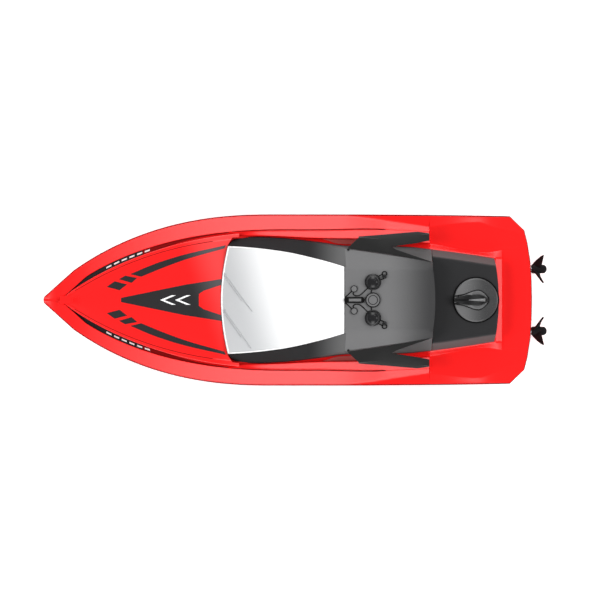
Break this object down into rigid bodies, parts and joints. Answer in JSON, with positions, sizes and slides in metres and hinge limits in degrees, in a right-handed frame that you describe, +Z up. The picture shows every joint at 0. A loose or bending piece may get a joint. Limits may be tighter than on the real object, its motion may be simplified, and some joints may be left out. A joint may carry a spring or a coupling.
{
  "type": "rc boat",
  "caption": "Toy remote-control speedboat: V-bottom hull with deck, lift-off cabin with windshield and side fins, turning hatch lock and two independent propeller drives.",
  "frame": {"origin": "on the centreline under the middle of the overall length, at the height of the flat keel pad the boat stands on", "axes": "+X forward to the bow, +Y to port, +Z up"},
  "size_m": [0.2896, 0.0982, 0.0698],
  "materials": {
    "red_plastic": "glossy moulded ABS, bright red",
    "black_plastic": "semi-gloss moulded ABS, near black",
    "white_plastic": "glossy opaque white moulding",
    "seal_rubber": "soft matt silicone ring",
    "bush_rubber": "soft matt rubber",
    "grey_plastic": "plain moulded grey",
    "battery_wrap": "shrink sleeve, blue",
    "board_green": "circuit board with green mask",
    "lead_red": "PVC-insulated wire, red",
    "lead_black": "PVC-insulated wire, black",
    "motor_can": "drawn steel can",
    "steel": "bright steel",
    "brass": "drawn brass tube"
  },
  "bodies": {
    "hull": {"hull_bottom": "red_plastic", "deck": "red_plastic", "hatch_seal": "seal_rubber", "foredeck_cover": "red_plastic", "battery_tray": "grey_plastic", "battery_pack": "battery_wrap", "battery_lead": "lead_black", "receiver_board": "board_green", "board_screw_port": "steel", "board_screw_starboard": "steel", "antenna_wire": "lead_black", "motor_port": "motor_can", "motor_starboard": "motor_can", "motor_cap_port": "black_plastic", "motor_cap_starboard": "black_plastic", "motor_cradle": "grey_plastic", "motor_strap": "grey_plastic", "strap_screw_port": "steel", "strap_screw_centre": "steel", "strap_screw_starboard": "steel", "motor_lead_port": "lead_red", "motor_lead_starboard": "lead_red", "stern_tube_port": "brass", "stern_tube_starboard": "brass", "stern_gland_port": "black_plastic", "stern_gland_starboard": "black_plastic", "lock_socket": "red_plastic", "water_contact_port": "steel", "water_contact_starboard": "steel"},
    "canopy": {"canopy_frame": "black_plastic", "windshield": "white_plastic", "wiper_port": "white_plastic", "wiper_starboard": "white_plastic", "roof_panel": "black_plastic", "aft_deck_lid": "black_plastic", "side_fin_port": "black_plastic", "side_fin_starboard": "black_plastic", "radar_dome_port": "black_plastic", "radar_dome_starboard": "black_plastic", "roof_light_port": "black_plastic", "roof_light_starboard": "black_plastic", "roof_beacon_port": "black_plastic", "roof_beacon_starboard": "black_plastic", "searchlight": "black_plastic", "horn_bar": "black_plastic", "lock_bush": "bush_rubber"},
    "lock_knob": {"lock_knob": "black_plastic", "lock_spindle": "steel"},
    "drive_port": {"propeller_port": "black_plastic", "prop_shaft_port": "steel", "shaft_coupling_port": "grey_plastic", "motor_spindle_port": "steel"},
    "drive_starboard": {"propeller_starboard": "black_plastic", "prop_shaft_starboard": "steel", "shaft_coupling_starboard": "grey_plastic", "motor_spindle_starboard": "steel"}
  },
  "joints": [
    {"name": "canopy_lift", "type": "slide", "parent": "hull", "child": "canopy", "axis": [0, 0, 1], "range_m": [0, 0.06]},
    {"name": "lock_knob_turn", "type": "hinge", "parent": "canopy", "child": "lock_knob", "pos_m": [-0.1026, 0, 0.0488], "axis": [0, 0, 1], "range_deg": [0, 90]},
    {"name": "propeller_port_spin", "type": "hinge", "parent": "hull", "child": "drive_port", "pos_m": [-0.14, 0.0179, 0.0106], "axis": [0.9962, 0, 0.0872], "continuous": true},
    {"name": "propeller_starboard_spin", "type": "hinge", "parent": "hull", "child": "drive_starboard", "pos_m": [-0.14, -0.0179, 0.0106], "axis": [0.9962, 0, 0.0872], "continuous": true}
  ]
}
